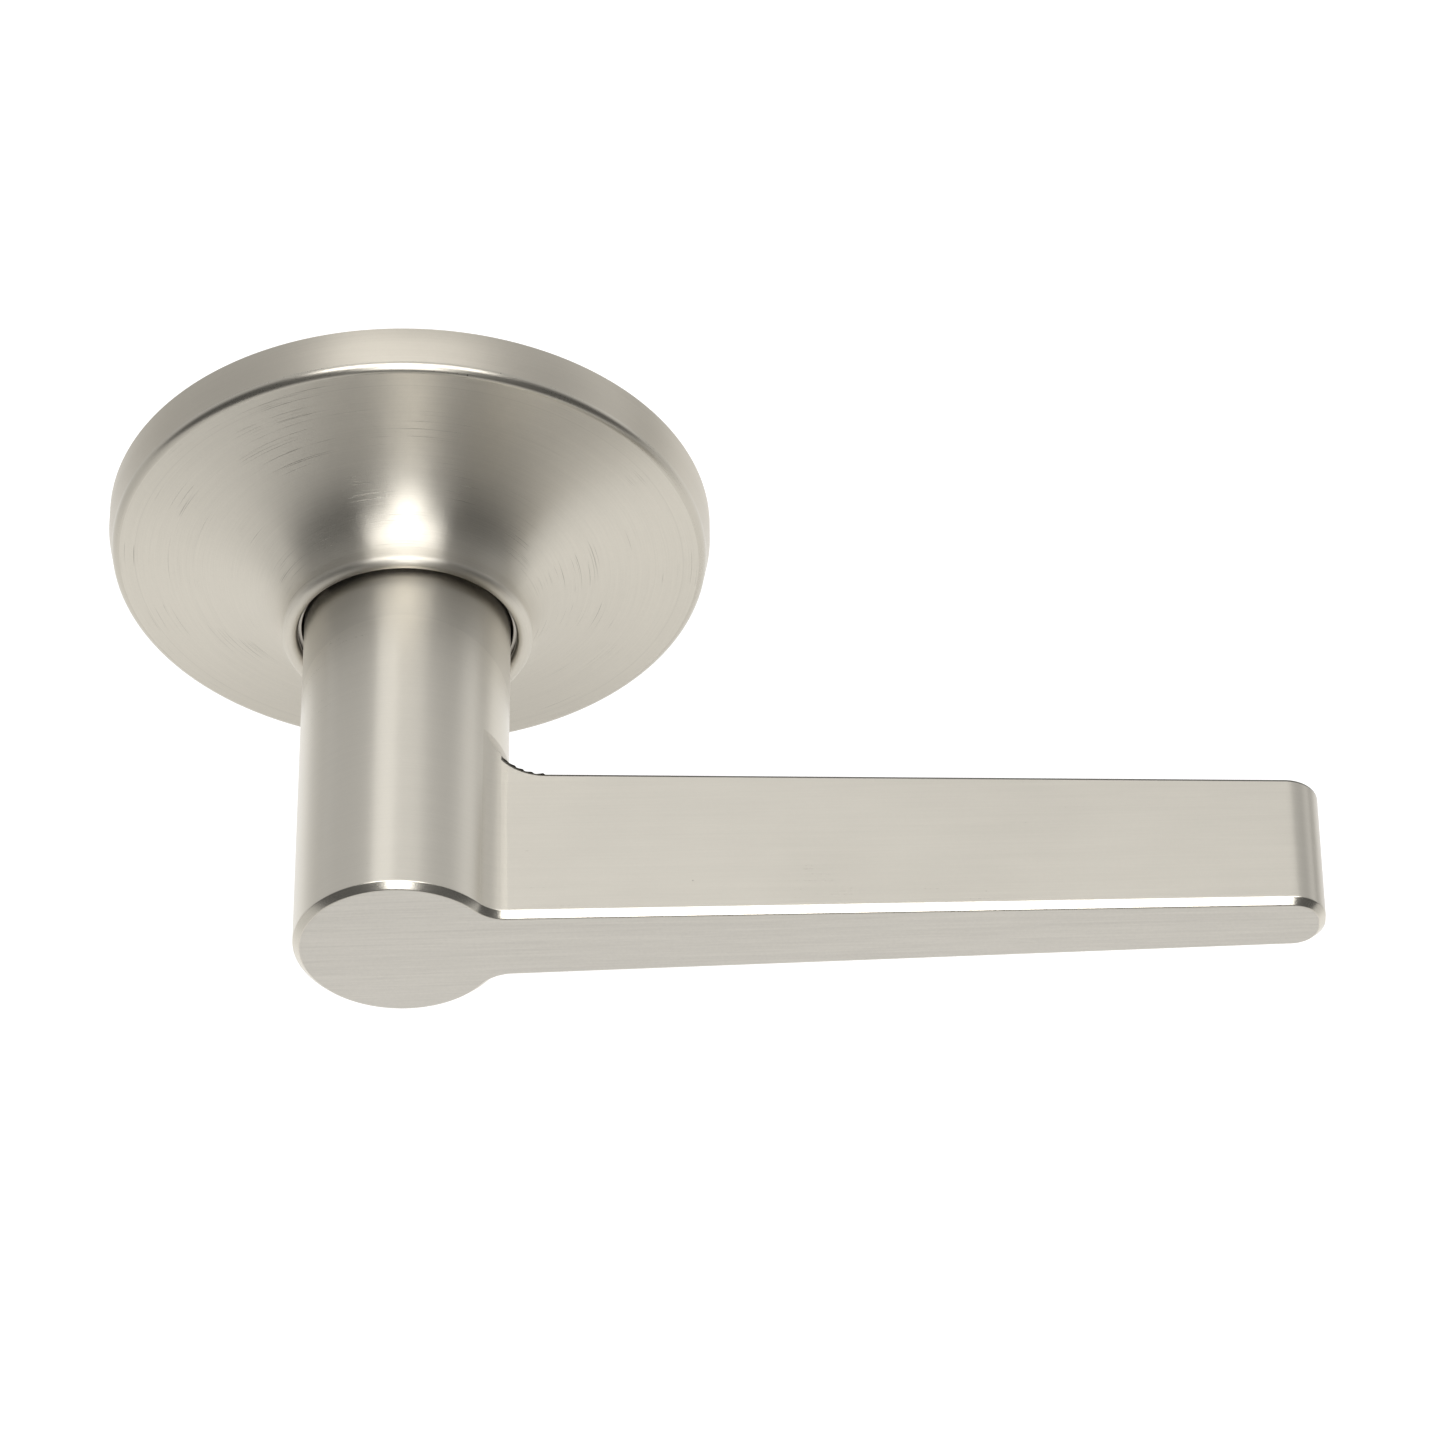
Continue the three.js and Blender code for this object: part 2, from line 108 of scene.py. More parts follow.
def rounded(section, radius=0.12, steps=2):
    """A closed section with each of its sharp corners rounded."""
    made = []
    count = len(section)
    for i, corner in enumerate(section):
        here = Vector(corner)
        before, after = Vector(section[i - 1]) - here, Vector(section[(i + 1) % count]) - here
        if corner[0] < 1e-6 or before.length < 1e-6 or after.length < 1e-6:
            made.append(tuple(here))
            continue
        turn = math.pi - before.angle(after)
        reach = min(radius * math.tan(turn / 2), 0.4 * before.length, 0.4 * after.length)
        if turn < math.radians(25) or reach < 1e-4:
            made.append(tuple(here))
            continue
        a, b = here + before.normalized() * reach, here + after.normalized() * reach
        for k in range(steps + 1):
            t = k / steps
            made.append(tuple(a * (1 - t) ** 2 + here * 2 * t * (1 - t) + b * t ** 2))
    return made


def turned(name, section, steps=INNER_STEPS, x=0.0, z=0.0, sharp=32):
    """A body of revolution about a line along Y, from (radius, depth) pairs round its section."""
    bm = bmesh.new()
    rows = []
    for radius, depth in section:
        if radius < 1e-6:
            rows.append([bm.verts.new(point(x, depth, z))] * steps)
        else:
            angles = [TAU * i / steps for i in range(steps)]
            rows.append([bm.verts.new(point(x + radius * math.cos(a), depth, z + radius * math.sin(a)))
                         for a in angles])
    for k in range(len(rows)):
        low, high = rows[k], rows[(k + 1) % len(rows)]
        if low[0] is low[1] and high[0] is high[1]:
            continue
        for i in range(steps):
            j = (i + 1) % steps
            corners = [low[i], low[j], high[j], high[i]]
            unique = [v for n, v in enumerate(corners) if v is not corners[n - 1]]
            bm.faces.new(unique)
    return finish_mesh(name, bm, sharp)


def lofted(name, loops, sharp=32, closed=True):
    """Rings of points joined in turn, each of the same count, with flat ends."""
    bm = bmesh.new()
    rows = [[bm.verts.new(p) for p in loop] for loop in loops]
    count = len(rows[0])
    for low, high in zip(rows, rows[1:]):
        for i in range(count):
            j = (i + 1) % count
            bm.faces.new([low[i], low[j], high[j], high[i]])
    if closed:
        bm.faces.new(rows[0])
        bm.faces.new(list(reversed(rows[-1])))
    return finish_mesh(name, bm, sharp)


def prism(name, outline, back, front, sharp=32):
    """An outline of (x, z) pairs, drawn out between two depths."""
    return lofted(name, [[point(x, depth, z) for x, z in outline] for depth in (back, front)], sharp)


def boolean(base, tools, operation="DIFFERENCE"):
    """Cuts the tools from the base, or joins them to it, and removes them."""
    for tool in tools:
        modifier = base.modifiers.new("cut", "BOOLEAN")
        modifier.operation = operation
        modifier.solver = "EXACT"
        modifier.object = tool
    graph = bpy.context.evaluated_depsgraph_get()
    made = bpy.data.meshes.new_from_object(base.evaluated_get(graph))
    base.modifiers.clear()
    old = base.data
    base.data = made
    made.name = base.name
    bpy.data.meshes.remove(old)
    for tool in tools:
        mesh = tool.data
        bpy.data.objects.remove(tool)
        bpy.data.meshes.remove(mesh)
    return base


def reshaded(obj, sharp=32):
    """Marks the sharp edges again after a cut."""
    bm = bmesh.new()
    bm.from_mesh(obj.data)
    bmesh.ops.remove_doubles(bm, verts=bm.verts, dist=1e-7)
    bmesh.ops.dissolve_degenerate(bm, edges=bm.edges, dist=1e-7)
    bmesh.ops.holes_fill(bm, edges=[edge for edge in bm.edges if edge.is_boundary], sides=4)
    for face in bm.faces:
        face.smooth = True
    for edge in bm.edges:
        edge.smooth = len(edge.link_faces) == 2 and edge.calc_face_angle(0) < math.radians(sharp)
    bm.to_mesh(obj.data)
    bm.free()
    return obj


def spun(obj, degrees):
    """Turns a mesh about the spindle's axis, so that +X goes towards +Z."""
    obj.data.transform(Matrix.Rotation(-math.radians(degrees), 4, "Y"))
    return obj


def swept(name, path, radius, sides=14):
    """Round wire along points, with flat ends. The section is carried along without twist."""
    points = [Vector(p) for p in path]
    loops = []
    tangent = (points[1] - points[0]).normalized()
    side = tangent.orthogonal().normalized()
    for i, here in enumerate(points):
        along = (points[min(i + 1, len(points) - 1)] - points[max(i - 1, 0)]).normalized()
        side = (side - along * side.dot(along)).normalized()
        up = along.cross(side)
        loops.append([here + (side * math.cos(TAU * k / sides) + up * math.sin(TAU * k / sides)) * radius * MM
                      for k in range(sides)])
    return lofted(name, loops, sharp=50)


# ---- Materials ----

class Look:
    """A procedural material: a small wrapper that adds nodes and joins them."""

    def __init__(self, name):
        self.material = bpy.data.materials.new(name)
        self.material.use_nodes = True
        self.tree = self.material.node_tree
        self.tree.nodes.clear()

    def node(self, kind, inputs=(), out=0, **settings):
        made = self.tree.nodes.new(kind)
        for key, value in settings.items():
            setattr(made, key, value)
        for key, value in dict(inputs).items():
            socket = made.inputs[key]
            if isinstance(value, bpy.types.NodeSocket):
                self.tree.links.new(value, socket)
            else:
                socket.default_value = value
        return made.outputs[out] if out is not None else made

    def math(self, operation, a, b=0.0):
        return self.node("ShaderNodeMath", {0: a, 1: b}, operation=operation)

    def vector(self, operation, a, b=(0.0, 0.0, 0.0), out=0):
        return self.node("ShaderNodeVectorMath", {0: a, 1: b}, operation=operation, out=out)

    def scaled(self, value, low, high, to_low, to_high):
        return self.node("ShaderNodeMapRange", {0: value, 1: low, 2: high, 3: to_low, 4: to_high})

    def smooth(self, value, low, high, to_low, to_high):
        return self.node("ShaderNodeMapRange", {0: value, 1: low, 2: high, 3: to_low, 4: to_high},
                         interpolation_type="SMOOTHSTEP")

    def combine(self, x, y, z):
        return self.node("ShaderNodeCombineXYZ", {0: x, 1: y, 2: z})

    def noise(self, where, scale=1.0, detail=4.0, rough=0.55):
        return self.node("ShaderNodeTexNoise", {"Vector": where, "Scale": scale, "Detail": detail,
                                                "Roughness": rough})

    def mix(self, share, a, b):
        made = self.node("ShaderNodeMix", out=None, data_type="RGBA")
        for key, value in ((0, share), (6, a), (7, b)):
            if isinstance(value, bpy.types.NodeSocket):
                self.tree.links.new(value, made.inputs[key])
            else:
                made.inputs[key].default_value = value
        return made.outputs[2]


def linear(red, green, blue):
    """A colour from its usual 0 to 255 values."""
    def one(v):
        v /= 255
        return v / 12.92 if v <= 0.04045 else ((v + 0.055) / 1.055) ** 2.4
    return (one(red), one(green), one(blue), 1.0)


def metal(name, tone, rough, stretch=0.0, brushed="round", grain=1.0, depth=0.012, streak=0.05,
          worn=0.25, scratched=0.0, band=False, ring=0.0):
    """Brushed metal. brushed says which way the lines run: round the spindle's axis, along the
    outline of a piece that is drawn out along Y, along X, or none. A band is left plain round the
    neck, next to the rose, and darkened there with a painted reflection of the rose's flare; the
    lever's rounded tip is darkened with painted shade. A ring is the radius of one fine turned line."""
    look = Look(name)
    place = look.node("ShaderNodeTexCoord", out=3)
    mm = look.vector("SCALE", place)
    mm.node.inputs["Scale"].default_value = 1000.0
    x, y, z = (look.node("ShaderNodeSeparateXYZ", {0: mm}, out=i) for i in range(3))
    radius = look.math("SQRT", look.math("ADD", look.math("MULTIPLY", x, x), look.math("MULTIPLY", z, z)))
    safe = look.math("MAXIMUM", radius, 0.01)
    cosine, sine = look.math("DIVIDE", x, safe), look.math("DIVIDE", z, safe)
    across = look.math("MULTIPLY", look.math("ADD", y, radius), -1.0)

    def stretched(along, over):
        """Where to read a noise whose lines follow the brushing: its scale along them and across."""
        if brushed == "round":
            return look.combine(
                look.math("MULTIPLY", cosine, 30 * along), look.math("MULTIPLY", sine, 30 * along),
                look.math("MULTIPLY", across, over))
        if brushed == "outline":
            return look.vector("MULTIPLY", mm, (along, over, along))
        if brushed == "along":
            return look.vector("MULTIPLY", mm, (along, 0.3 * over, over))
        return look.vector("MULTIPLY", mm, (0.4 * over,) * 3)

    lines = look.noise(stretched(0.07, 4.2 * grain), 1.0, 5.0, 0.7)
    bands = look.noise(stretched(0.03, 0.8 * grain), 1.0, 3.0, 0.5)
    mottle = look.noise(look.vector("MULTIPLY", mm, (2.2, 2.2, 2.2)), 1.0, 2.0, 0.6)
    handled = look.noise(look.vector("MULTIPLY", mm, (0.06, 0.06, 0.06)), 1.0, 2.0, 0.5)
    specks = look.node("ShaderNodeTexVoronoi", {"Vector": mm, "Scale": 0.085}, out=0)
    pit = look.scaled(specks, 0.006, 0.014, 0.8, 0.0)
    both = look.math("ADD", look.math("MULTIPLY", lines, 0.62),
                     look.math("ADD", look.math("MULTIPLY", bands, 0.18),
                               look.math("MULTIPLY", mottle, 0.20)))
    tint = look.scaled(both, 0.36, 0.64, 1.0 - 4 * streak, 1.0)
    worn_tint = look.math("MULTIPLY", tint, look.scaled(handled, 0.3, 0.7, 1.0 - 0.3 * worn, 1.0))
    light, shade = tuple(tone[:3]) + (1.0,), tuple(c * 0.80 for c in tone[:3]) + (1.0,)
    colour = look.mix(look.scaled(worn_tint, 0.0, 1.0, 1.0, 0.0), light, shade)
    roughness = look.math("ADD", look.scaled(both, 0.3, 0.7, rough - 0.02, rough + 0.02),
                          look.scaled(handled, 0.35, 0.65, -0.02 * worn, 0.04 * worn))
    height = look.math("ADD", lines, look.math("MULTIPLY", bands, 0.3))
    if scratched:
        thin = look.noise(stretched(0.045, 7.0), 1.0, 2.0, 0.5)
        cloud = look.noise(look.vector("MULTIPLY", mm, (0.11, 0.11, 0.11)), 1.0, 1.0)
        patch = look.smooth(cloud, 0.50, 0.62, 0.0, 1.0)
        scratch = look.math("MULTIPLY", look.scaled(thin, 0.64, 0.70, 0.0, scratched), patch)
        colour = look.mix(scratch, colour, tuple(c * 0.45 for c in tone[:3]) + (1.0,))
        height = look.math("SUBTRACT", height, scratch)
    if ring:
        off = look.math("ABSOLUTE", look.math("SUBTRACT", radius, ring))
        colour = look.mix(look.smooth(off, 0.03, 0.12, 0.35, 0.0), colour, shade)
    if band:
        bend = look.math("MULTIPLY", look.math("ABSOLUTE", sine), BAND_BEND)
        out_along = look.math("ADD", look.math("MULTIPLY", y, -1.0), bend)
        edge = look.math("SUBTRACT", out_along, BAND_END + BAND_BEND)
        plain_and_painted_reflection = look.smooth(edge, -0.12, 0.12, 1.0, 0.0)
        # Painted reflection: the plain band is darkened where the rose's flare shows in the neck; its added
        # roughness is its own plain finish.
        colour = look.mix(look.math("MULTIPLY", plain_and_painted_reflection, BAND_SHADE), colour, (0.10, 0.10, 0.095, 1.0))
        roughness = look.math("ADD", roughness, look.math("MULTIPLY", plain_and_painted_reflection, 0.05))
        # Painted shade: the lever's rounded tip is darkened towards its end, standing in for the darker
        # reflection there.
        tip_painted_shade = look.smooth(x, TIP - TIP_RADIUS, TIP - 1.0, 0.0, 0.22)
        colour = look.mix(tip_painted_shade, colour, (0.12, 0.11, 0.10, 1.0))
    colour = look.mix(pit, colour, (0.08, 0.07, 0.06, 1.0))
    bump = look.node("ShaderNodeBump", {"Strength": 0.6, "Distance": depth * MM, "Height": height})
    inputs = {"Base Color": colour, "Roughness": roughness, "Metallic": 1.0, "Normal": bump}
    shader = look.node("ShaderNodeBsdfPrincipled", inputs, out=None)
    if stretch:
        world = {"vector_type": "VECTOR", "convert_from": "OBJECT", "convert_to": "WORLD"}
        if brushed == "outline":
            axis = look.node("ShaderNodeVectorTransform", {0: (0.0, 1.0, 0.0)}, **world)
            way = look.vector("CROSS_PRODUCT", look.node("ShaderNodeNewGeometry", out=1), axis)
        else:
            local = look.combine(look.math("MULTIPLY", sine, -1.0), 0.0, cosine)
            way = look.node("ShaderNodeVectorTransform",
                            {0: (1.0, 0.0, 0.0) if brushed == "along" else local}, **world)
        look.tree.links.new(way, shader.inputs["Tangent"])
        shader.inputs["Anisotropic"].default_value = stretch
        shader.inputs["Anisotropic Rotation"].default_value = 0.25
    look.node("ShaderNodeOutputMaterial", {0: shader.outputs[0]}, out=None)
    return look.material


def plastic(name, tone):
    look = Look(name)
    place = look.node("ShaderNodeTexCoord", out=3)
    grain = look.noise(place, 900.0, 4.0)
    cloud = look.noise(place, 60.0, 2.0)
    colour = look.mix(cloud, tuple(c * 0.88 for c in tone[:3]) + (1.0,), tone)
    bump = look.node("ShaderNodeBump", {"Strength": 0.3, "Distance": 0.00003, "Height": grain})
    shader = look.node("ShaderNodeBsdfPrincipled", {"Base Color": colour, "Normal": bump,
                       "Roughness": look.scaled(grain, 0.3, 0.7, 0.45, 0.6)})
    look.node("ShaderNodeOutputMaterial", {0: shader}, out=None)
    return look.material


BAND_END, BAND_BEND, BAND_SHADE = 26.6, 4.4, 0.07  # the neck's plain band, darkened with a painted reflection of the rose's flare: where it ends, and how dark
NICKEL = linear(202, 197, 186)
satin_round = metal("satin_round", NICKEL, 0.38, stretch=0.92, brushed="round", depth=0.03, streak=0.10,
                    scratched=0.8, ring=36.9)
# Painted shade: the rim is a darker copy of the nickel, standing in for its darker reflection.
satin_rim_shaded = metal("satin_rim_shaded", linear(191, 185, 173), 0.38, stretch=0.6, brushed="round", depth=0.02,
                  streak=0.08)
# Painted shade: the lip is a darker copy of the nickel, set against the bright floor that it reflects; its
# lower roughness is its own polish.
satin_lip_shaded = metal("satin_lip_shaded", linear(186, 181, 170), 0.28, stretch=0.4, brushed="round", depth=0.01,
                  streak=0.05)
satin_outline = metal("satin_outline", NICKEL, 0.29, stretch=0.6, brushed="outline", depth=0.004,
                      streak=0.055, band=True)
satin_along = metal("satin_along", linear(198, 194, 186), 0.36, stretch=0.5, brushed="along", grain=0.62,
                    depth=0.03, streak=0.20)
satin_polished = metal("satin_polished", NICKEL, 0.24, brushed="round", streak=0.04, depth=0.004)
satin_fillet = metal("satin_fillet", NICKEL, 0.50, stretch=0.3, brushed="outline", depth=0.01, streak=0.08)
# Painted shade: the arm's broken back edge is coloured dark, standing in for the dark reflection along it.
edge_painted_shade = metal("edge_painted_shade", linear(112, 110, 104), 0.30, brushed="none", streak=0.05)
ring_steel = metal("ring_steel", linear(176, 171, 162), 0.34, brushed="none", streak=0.1)
satin_inside = metal("satin_inside", linear(196, 192, 184), 0.34, stretch=0.3, brushed="round", grain=0.6)
zinc = metal("zinc", linear(186, 189, 190), 0.38, brushed="none", grain=0.8, streak=0.12, depth=0.02)
zinc_round = metal("zinc_round", linear(186, 188, 189), 0.36, stretch=0.4, brushed="round", streak=0.1)
bright = metal("bright", linear(205, 206, 207), 0.26, brushed="none", grain=1.2)
spring = metal("spring", linear(128, 128, 130), 0.32, brushed="none", grain=1.4, streak=0.1)
bronze = metal("bronze", linear(186, 146, 88), 0.36, stretch=0.4, brushed="round", streak=0.12)
nylon = plastic("nylon", linear(232, 229, 218))


def dress(obj, body, slot, *materials):
    """Gives a piece its body and its looks, and hides the CAD node that it stands for. Its slot is not used.
    """
    for material in materials:
        obj.data.materials.append(material)
    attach(obj, body)
    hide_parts(obj.name.removesuffix("_piece"))
    return obj


# ---- The rose ----

def bezier(a, b, c, d, t):
    s = 1 - t
    return tuple(s ** 3 * p + 3 * s * s * t * q + 3 * s * t * t * r + t ** 3 * w
                 for p, q, r, w in zip(a, b, c, d))


def flare(t, inset=0.0):
    """The rose's face from the lip to the collar, as (radius, depth), or its inner side."""
    ends = [(LIP_RADIUS - LIP - 0.2, LIP_DEPTH + LIP), (28.5, 7.9), (18.2, 9.5),
            (COLLAR_RADIUS, ROSE_DEPTH - 2 * COLLAR_ROLL)]
    here = Vector(bezier(*ends, t))
    ahead = Vector(bezier(*ends, min(1.0, t + 1e-3))) - Vector(bezier(*ends, max(0.0, t - 1e-3)))
    ahead.normalize()
    return (here.x - ahead.y * inset, here.y + ahead.x * inset)


def rose():
    roll_depth, roll_centre = ROSE_DEPTH - COLLAR_ROLL, COLLAR_RADIUS - COLLAR_ROLL
    rim = [(ROSE_RADIUS, 0.05), (ROSE_RADIUS, 2.6)] + arc(LIP_RADIUS - LIP, LIP_DEPTH, LIP, 0, 82, 14)
    face = [flare(i / 60) for i in range(1, 61)]
    roll = arc(roll_centre, roll_depth, COLLAR_ROLL, 0, 180, 16)
    inner = [flare(1 - i / 24, ROSE_WALL) for i in range(1, 25)]
    section = [(ROSE_RADIUS - ROSE_WALL, 0.0), (ROSE_RADIUS - 0.05, 0.0)] + rim + face + roll + [
        (COLLAR_BORE, roll_depth - 0.25), (COLLAR_RADIUS - ROSE_WALL, roll_depth - 0.25)] + inner + [
        (LIP_RADIUS - LIP, LIP_DEPTH - 0.6), (ROSE_RADIUS - ROSE_WALL, LIP_DEPTH - 1.2)]
    obj = turned("rose_cover_piece", section, ROUND_STEPS)
    dress(obj, "trim", "satin_nickel", satin_round, satin_lip_shaded, satin_inside, satin_rim_shaded)
    for face in obj.data.polygons:
        centre = face.center / MM
        radius, depth = math.hypot(centre.x, centre.z), -centre.y
        out = Vector((centre.x, 0, centre.z)).normalized()
        outward = face.normal.dot(out)
        if radius < COLLAR_BORE + 0.4 or (face.normal.y > 0.2) or (outward < -0.5 and depth < 18):
            face.material_index = 2
        elif radius > LIP_RADIUS - LIP - 0.1 and depth > LIP_DEPTH - 0.1:
            face.material_index = 1
        elif radius > LIP_RADIUS and depth < LIP_DEPTH:
            face.material_index = 3
    return obj


# ---- The lever ----

def half_height(x):
    return ROOT_HALF - TAPER * x


def lever_outline(inset=0.0):
    """The lever seen from the front, its whole outline brought in by an inset."""
    cx, cz = 14.0, 11.0
    for _ in range(12):
        cz = half_height(cx) + FILLET
        cx = math.sqrt((NECK + FILLET) ** 2 - cz ** 2)
    touch = math.degrees(math.atan2(cz, cx))
    tip_x = TIP - TIP_RADIUS
    tip_z = half_height(tip_x) - TIP_RADIUS
    fillet = arc(cx, cz, FILLET + inset, 180 + touch, 270, 20)
    straight_from, straight_to = Vector(fillet[-1]), Vector((tip_x, half_height(tip_x) - inset))
    straight = [tuple(straight_from.lerp(straight_to, i / 24)) for i in range(1, 24)]
    tip = arc(tip_x, tip_z, TIP_RADIUS - inset, 90, 0, 20)
    upper = fillet + straight + tip
    lower = [(x, -z) for x, z in reversed(upper)]
    step = 360 / ROUND_STEPS
    first = math.ceil((touch + 0.2) / step)
    angles = [k * step for k in range(first, ROUND_STEPS - first + 1)]
    neck = [((NECK - inset) * math.cos(math.radians(a)), (NECK - inset) * math.sin(math.radians(a)))
            for a in reversed(angles)]
    return upper + lower + neck, touch


def lever():
    edge = 0.10
    steps = [(0.0, NECK_START + BEVEL), (0.0, FRONT - BEVEL - 3 * edge), (0.0, FRONT - BEVEL - edge),
             (0.02, FRONT - BEVEL - 0.02),
             (0.09, FRONT - BEVEL + 0.07), (BEVEL - 0.09, FRONT - 0.11), (BEVEL - 0.01, FRONT - 0.04),
             (BEVEL + edge, FRONT - 0.006), (BEVEL + 3 * edge, FRONT)]
    loops = [[point(x, NECK_START, z) for x, z in lever_outline(BEVEL)[0]]]
    loops += [[point(x, depth, z) for x, z in lever_outline(inset)[0]] for inset, depth in steps]
    body = lofted("lever_handle_piece", loops)

    _, touch = lever_outline()
    step = 360 / ROUND_STEPS
    wedge = 60
    angles = sorted([k * step for k in range(-int(wedge / step), int(wedge / step) + 1)
                     if abs(abs(k * step) - touch) > 0.2] + [touch, -touch])
    side = [(NECK, -5.0), (NECK, BACK_DEPTH - BACK_FILLET)]
    side += arc(NECK + BACK_FILLET, BACK_DEPTH - BACK_FILLET, BACK_FILLET, 180, 90, 28)[1:]
    side += [(150.0, BACK_DEPTH), (150.0, -5.0)]
    space = lofted("space", [
        [point(r * math.cos(math.radians(a)), depth + BACK_TAPER * r * math.cos(math.radians(a)),
               r * math.sin(math.radians(a))) for r, depth in side] for a in angles])
    half = KEY_HALF + GAP
    key = [(-half, 5), (half, 5), (half, KEY_HIGH + GAP), (-half, KEY_HIGH + GAP)]
    hole = turned("hole", [(0, -1), (CATCH_HOLE, -1), (CATCH_HOLE, 13.45), (CATCH_HOLE + 0.5, 14.0),
                           (CATCH_HOLE + 0.5, 20), (0, 20)], 48)
    hole.data.transform(Matrix.Translation((0, -CATCH_DEPTH * MM, 0)) @ Matrix.Rotation(math.pi / 2, 4, "X"))
    boolean(body, [
        space,
        turned("bore", [(0, 17.0), (9.8, 17.0), (9.8, 44.0), (0, 44.0)], 96),
        turned("skirt", [(0, 5.0), (12.7, 5.0), (12.7, 18.1), (0, 18.1)], 96),
        prism("keyway", key, 16, KEY_FRONT + GAP),
        hole,
    ])
    bm = bmesh.new()
    bm.from_mesh(body.data)
    bmesh.ops.remove_doubles(bm, verts=bm.verts, dist=2e-7)
    edges = []
    for e in bm.edges:
        if len(e.link_faces) != 2 or e.calc_face_angle(0) < math.radians(50):
            continue
        middle = (e.verts[0].co + e.verts[1].co) / 2 / MM
        away = math.hypot(middle.x, middle.z)
        if away > NECK + 1.2 and -middle.y < FRONT - 2:
            edges.append(e)
    broken = bmesh.ops.bevel(bm, geom=edges, offset=BACK_EDGE * MM, segments=4, profile=0.5, affect="EDGES",
                             clamp_overlap=False)
    # The broken back edges take the dark painted-shade look.
    for face in broken["faces"]:
        face.material_index = EDGE_LOOK
    bm.to_mesh(body.data)
    bm.free()
    reshaded(body, 40)
    weighted = body.modifiers.new("weighted", "WEIGHTED_NORMAL")
    weighted.keep_sharp = True
    weighted.weight = 80
    dress(body, "lever", "satin_nickel",
          satin_outline, satin_along, satin_polished, satin_inside, edge_painted_shade, satin_fillet)
    for face in body.data.polygons:
        centre = face.center / MM
        away = math.hypot(centre.x, centre.z)
        facing = face.normal.y
        if face.material_index == EDGE_LOOK:
            continue
        if -centre.y > FRONT - BEVEL - 0.06 and -0.97 < facing < -0.2:
            face.material_index = BEVEL_LOOK
        elif away < NECK - 0.4 and -centre.y < FRONT - 2:
            face.material_index = INSIDE_LOOK
        elif abs(facing) > 0.9:
            face.material_index = FLAT_LOOK
        elif away > NECK + 0.005 and 0 < centre.x < 14.6:
            face.material_index = FILLET_LOOK
    return body


rose()
lever()

# ---- The pieces behind the rose ----

PLATE_RADIUS, PLATE_HOLE, PLATE_THICK = 38.0, 10.5, 2.0
POST_X, POST_RADIUS, POST_NECK, POST_LENGTH, POST_BORE, POST_BORE_DEPTH = 20.6, 4.0, 2.9, 18.0, 1.75, 14.0
SCREW_CIRCLE, RIVET_CIRCLE, STOP_CIRCLE = 24.7, 31.5, 13.0
SCREW_ANGLES, CLIP_ANGLES = (45, 135, 225, 315), (90, 210, 330)
SPRING_CIRCLE, SPRING_COIL, SPRING_WIRE = 18.15, 1.7, 0.4
SPRING_DEPTH, SPRING_TURNS, SPRING_END = 4.6, 11, 13.5
CATCH_SPRING_COIL, CATCH_SPRING_WIRE, CATCH_SPRING_TURNS = 1.7, 0.25, 7
CATCH_SPRING_LOW, CATCH_SPRING_HIGH, CATCH_SPRING_PRESSED = -4.6, 6.6, 0.74


def along_z(obj, depth):
    """Lays a piece turned about Y along Z instead, its depths running down."""
    obj.data.transform(Matrix.Translation((0, -depth * MM, 0)) @ Matrix.Rotation(math.pi / 2, 4, "X"))
    return obj


def along_x(obj, depth):
    """Lays a piece turned about Y along X instead, its depths running towards +X."""
    obj.data.transform(Matrix.Translation((0, -depth * MM, 0)) @ Matrix.Rotation(math.pi / 2, 4, "Z"))
    return obj


def bar(name, x, z, radius, back, front, steps=40, edge=0.0):
    section = [(0, back), (radius, back), (radius, front), (0, front)]
    return turned(name, rounded(section, edge) if edge else section, steps, x, z)


def block(name, x, z, depth):
    """A box from its three pairs of limits."""
    outline = [(x[0], z[0]), (x[1], z[0]), (x[1], z[1]), (x[0], z[1])]
    return prism(name, outline, *depth)


def sector(inner, outer, start, end, steps):
    return arc(0, 0, outer, start, end, steps) + arc(0, 0, inner, end, start, steps)


def softened(obj, width=0.1, segments=2):
    """Breaks the sharp edges of a piece that was drawn out or cut."""
    bevel = obj.modifiers.new("edges", "BEVEL")
    bevel.width = width * MM
    bevel.segments = segments
    bevel.limit_method = "ANGLE"
    bevel.angle_limit = math.radians(40)
    bevel.use_clamp_overlap = True
    bevel.harden_normals = True
    return obj


def mounting_plate():
    section = [(PLATE_HOLE, 0), (PLATE_RADIUS, 0), (PLATE_RADIUS, PLATE_THICK), (PLATE_HOLE, PLATE_THICK)]
    plate = turned("mounting_plate_piece", rounded(section), ROUND_STEPS)
    holes = [bar("hole", side * POST_X, 0, POST_NECK + GAP, -1, 3, 47) for side in (-1, 1)]
    holes += [bar("hole", side * STOP_CIRCLE, 0, 1 + GAP, -1, 3, 37) for side in (-1, 1)]
    holes += [spun(bar("hole", SCREW_CIRCLE, 0, 1.2 + GAP, -1, 3), a) for a in SCREW_ANGLES]
    holes += [spun(bar("hole", RIVET_CIRCLE, 0, 1 + GAP, -1, 3), a) for a in CLIP_ANGLES]
    return reshaded(boolean(plate, holes))


